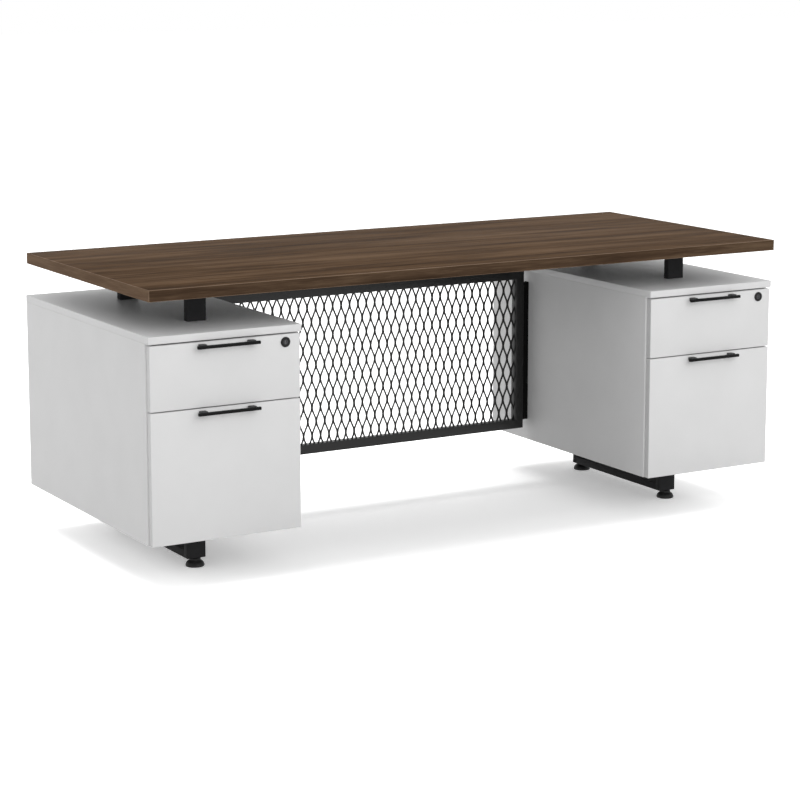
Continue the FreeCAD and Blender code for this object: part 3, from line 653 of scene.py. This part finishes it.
low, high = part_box("modesty_mesh")
half_rise = MESH_RISE / 2
half_height = MESH_OPENING_HEIGHT / 2
levels = (
    0, MESH_WAIST_LEVEL, half_rise - half_height, half_height, half_rise - MESH_WAIST_LEVEL, half_rise)
net = bmesh.new()
strand = [
    (net.verts.new((half_opening(level), low.y, level)),
     net.verts.new((MESH_PITCH / 2 - half_opening(half_rise - level), low.y, level)))
    for level in levels]
for (near, far), (next_near, next_far) in zip(strand, strand[1:]):
    net.faces.new((near, far, next_far, next_near))
for axis in ("X", "Z"):
    bmesh.ops.mirror(net, geom=net.verts[:] + net.edges[:] + net.faces[:], axis=axis, merge_dist=0)
bmesh.ops.translate(
    net, vec=(MESH_SIDE_SHIFT, 0, (low.z + high.z) / 2 + MESH_UP_SHIFT), verts=net.verts)
surround = net.verts[:] + net.edges[:] + net.faces[:]
columns = math.ceil((high.x + MESH_SIDE_SHIFT) / MESH_PITCH)
rows = math.ceil((high.z - low.z) / MESH_RISE)
for column in range(-columns, columns + 1):
    for row in range(-rows, rows + 1):
        if column or row:
            copied = bmesh.ops.duplicate(net, geom=surround)["geom"]
            bmesh.ops.translate(
                net, vec=(column * MESH_PITCH, 0, row * MESH_RISE), verts=points_in(copied))
bmesh.ops.remove_doubles(net, verts=net.verts, dist=0.00001)
for point, outward in ((low, (-1, 0, 0)), (low, (0, 0, -1)), (high, (1, 0, 0)), (high, (0, 0, 1))):
    bmesh.ops.bisect_plane(
        net, geom=net.verts[:] + net.edges[:] + net.faces[:], dist=0.000001,
        plane_co=point, plane_no=outward, clear_outer=True)
draw_out(net, (0, high.y - low.y, 0))
add_piece("modesty_net", net, [gloss_coat], "desk", "black_powder_coat", "modesty_mesh")


# Modesty panel brackets
# Upright channels of folded sheet steel that screw to the case sides and to the frame.
# Their coat is a matt black.

def dress(node, finish):
    """Give a piece that keeps its built shape another finish."""
    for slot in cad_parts[node].material_slots:
        slot.material = finish


matt_coat = powder_coat(
    "matt_powder_coat", shade(4, 4, 4), shade(8, 8, 8), rough=0.6,
    sockets={"Specular IOR Level": 0.1})
dress("modesty_brackets", matt_coat)


# Runners, lock strikes and fasteners
# Rolled steel members of the telescopic runners, folded strike plates, screws and bolts.
# All are bright zinc plated, with faint rolling lines.

def zinc_plate(name, dark, light):
    """Zinc plate on rolled steel: bright, with faint lines along the rolling."""
    material, tree, shader = start_finish(name, {"Metallic": 1.0})
    rolling = stretched_noise(tree, (900, 6, 900), detail=3)
    bloom = stretched_noise(tree, (55, 55, 55), detail=3)
    coloured(tree, shader, blended(tree, [(rolling, 0.7), (bloom, 0.3)]), [(0.35, dark), (0.65, light)])
    roughened(tree, shader, rolling, smoothest=0.3, roughest=0.45)
    bumped(tree, shader, rolling, depth=0.00002)
    return material


zinc_steel = zinc_plate("zinc_steel", shade(170, 172, 175), shade(194, 196, 199))
for side in SIDES:
    dress(side + "_case_runners", zinc_steel)
    dress(side + "_lock_strike", zinc_steel)
    for level in LEVELS:
        dress(f"{side}_{level}_middle_runners", zinc_steel)
        dress(f"{side}_{level}_drawer_runners", zinc_steel)
dress("panel_screws", zinc_steel)
dress("post_bolts", zinc_steel)


# File rails
# Extruded black plastic rails that clip over the side walls of the lower drawers.
# Hanging folders ride on their ribs.

for side in SIDES:
    dress(side + "_file_rails", black_plastic)


# Studio
# A plain floor that shows white to the eye and in mirrors, and keeps the desk's shadow.
# Even light comes from all round, with a broad lamp in front, three more for the floor alone
# and a small one that lifts the shaded side of the kneehole.

def rays_of(tree, *kinds):
    """One where a ray is of one of these kinds, and nothing elsewhere."""
    rays = tree.nodes.new("ShaderNodeLightPath")
    total = rays.outputs[kinds[0]]
    for kind in kinds[1:]:
        either = tree.nodes.new("ShaderNodeMath")
        either.operation = "MAXIMUM"
        tree.links.new(total, either.inputs[0])
        tree.links.new(rays.outputs[kind], either.inputs[1])
        total = either.outputs[0]
    return total


def chosen(tree, share, plain, special):
    """The special shader where the share is one, and the plain one elsewhere."""
    either = tree.nodes.new("ShaderNodeMixShader")
    tree.links.new(share, either.inputs["Fac"])
    tree.links.new(plain, either.inputs[1])
    tree.links.new(special, either.inputs[2])
    return either.outputs["Shader"]


MIRRORED = ("Is Glossy Ray", "Is Transmission Ray")
WHITE = (1, 1, 1, 1)
DOME_LEVEL = 0.8
FLOOR_REACH = 30
FLOOR_TONE = (0.41, 0.41, 0.41, 1)
FLOOR_LIFT = 0.28

world = bpy.data.worlds.new("studio")
bpy.context.scene.world = world
world.use_nodes = True
tree = world.node_tree
dome = tree.nodes["Background"]
dome.inputs["Color"].default_value = WHITE
dome.inputs["Strength"].default_value = DOME_LEVEL
white = tree.nodes.new("ShaderNodeBackground")
white.inputs["Color"].default_value = WHITE
white.inputs["Strength"].default_value = 1
backdrop = chosen(
    tree, rays_of(tree, "Is Camera Ray", *MIRRORED),
    dome.outputs["Background"], white.outputs["Background"])
tree.links.new(backdrop, tree.nodes["World Output"].inputs["Surface"])

floor_paint = bpy.data.materials.new("floor_paint")
floor_paint.use_nodes = True
tree = floor_paint.node_tree
tree.nodes.remove(tree.nodes["Principled BSDF"])
paint = tree.nodes.new("ShaderNodeBsdfDiffuse")
paint.inputs["Color"].default_value = FLOOR_TONE
bright_paint = tree.nodes.new("ShaderNodeBsdfDiffuse")
bright_paint.inputs["Color"].default_value = WHITE
lift = tree.nodes.new("ShaderNodeEmission")
lift.inputs["Strength"].default_value = FLOOR_LIFT
seen = tree.nodes.new("ShaderNodeAddShader")
tree.links.new(bright_paint.outputs["BSDF"], seen.inputs[0])
tree.links.new(lift.outputs["Emission"], seen.inputs[1])
mirrored = tree.nodes.new("ShaderNodeEmission")
mirrored.inputs["Strength"].default_value = 1
unseen = chosen(tree, rays_of(tree, *MIRRORED), paint.outputs["BSDF"], mirrored.outputs["Emission"])
surface = chosen(tree, rays_of(tree, "Is Camera Ray"), unseen, seen.outputs["Shader"])
tree.links.new(surface, tree.nodes["Material Output"].inputs["Surface"])

ground = bmesh.new()
bmesh.ops.create_grid(ground, x_segments=1, y_segments=1, size=FLOOR_REACH)
floor_data = bpy.data.meshes.new("floor")
ground.to_mesh(floor_data)
ground.free()
floor_data.materials.append(floor_paint)
floor = bpy.data.objects.new("floor", floor_data)
bpy.context.scene.collection.objects.link(floor)


def add_lamp(name, place, aim, wide, deep, power):
    """Hang a lamp with a wide diffuser at a place, turned to face a point."""
    data = bpy.data.lights.new(name, "AREA")
    data.shape = "RECTANGLE"
    data.size = wide
    data.size_y = deep
    data.energy = power
    lamp = bpy.data.objects.new(name, data)
    lamp.location = place
    lamp.rotation_euler = (Vector(aim) - Vector(place)).to_track_quat("-Z", "Y").to_euler()
    bpy.context.scene.collection.objects.link(lamp)
    return lamp


add_lamp("front_lamp", place=(0.3, -4.5, 2.4), aim=(0, 0, 0.4), wide=3, deep=3, power=47)
lit_floor = bpy.data.collections.new("lit_floor")
lit_floor.objects.link(floor)
for floor_lamp in (
        add_lamp("overhead_lamp", place=(0, 1.5, 6), aim=(0, 0, 0), wide=6.4, deep=5, power=460),
        add_lamp("left_lamp", place=(-4.5, -0.2, 2.4), aim=(-0.9, 0, 0), wide=2, deep=2, power=42),
        add_lamp("right_lamp", place=(4.5, -0.2, 2.4), aim=(0.9, 0, 0), wide=2, deep=2, power=58)):
    floor_lamp.light_linking.receiver_collection = lit_floor

lit_side = bpy.data.collections.new("lit_side")
for board in ("right_inner_side_board", "right_pedestal_top_board"):
    lit_side.objects.link(bpy.data.objects[board])
kneehole_lamp = add_lamp(
    "kneehole_lamp", place=(0.1, 0.33, 0.4), aim=(0.515, 0.19, 0.4), wide=0.5, deep=0.5, power=0.26)
kneehole_lamp.visible_camera = False
kneehole_lamp.light_linking.receiver_collection = lit_side
kneehole_lamp.light_linking.blocker_collection = lit_floor


# Camera
# It stands in front of the desk's left end and looks down on the worktop a little.
# A small lens shift keeps the uprights nearly parallel, and the place and focal length are fitted.

CAMERA_PLACE = (-3.1107, -5.2996, 1.5256)
CAMERA_TURN = -30.21
CAMERA_DIP = 9.225
CAMERA_SHIFT = -0.1
SENSOR_WIDTH = 36
IMAGE_WIDTH = 800
FOCAL_PIXELS = 2358.7

lens = bpy.data.cameras.new("camera")
lens.sensor_width = SENSOR_WIDTH
lens.lens = SENSOR_WIDTH * FOCAL_PIXELS / IMAGE_WIDTH
lens.shift_y = CAMERA_SHIFT
camera = bpy.data.objects.new("camera", lens)
camera.location = CAMERA_PLACE
camera.rotation_euler = (math.radians(90 - CAMERA_DIP), 0, math.radians(CAMERA_TURN))
bpy.context.scene.collection.objects.link(camera)
bpy.context.scene.camera = camera
bpy.context.scene.view_settings.view_transform = "Standard"
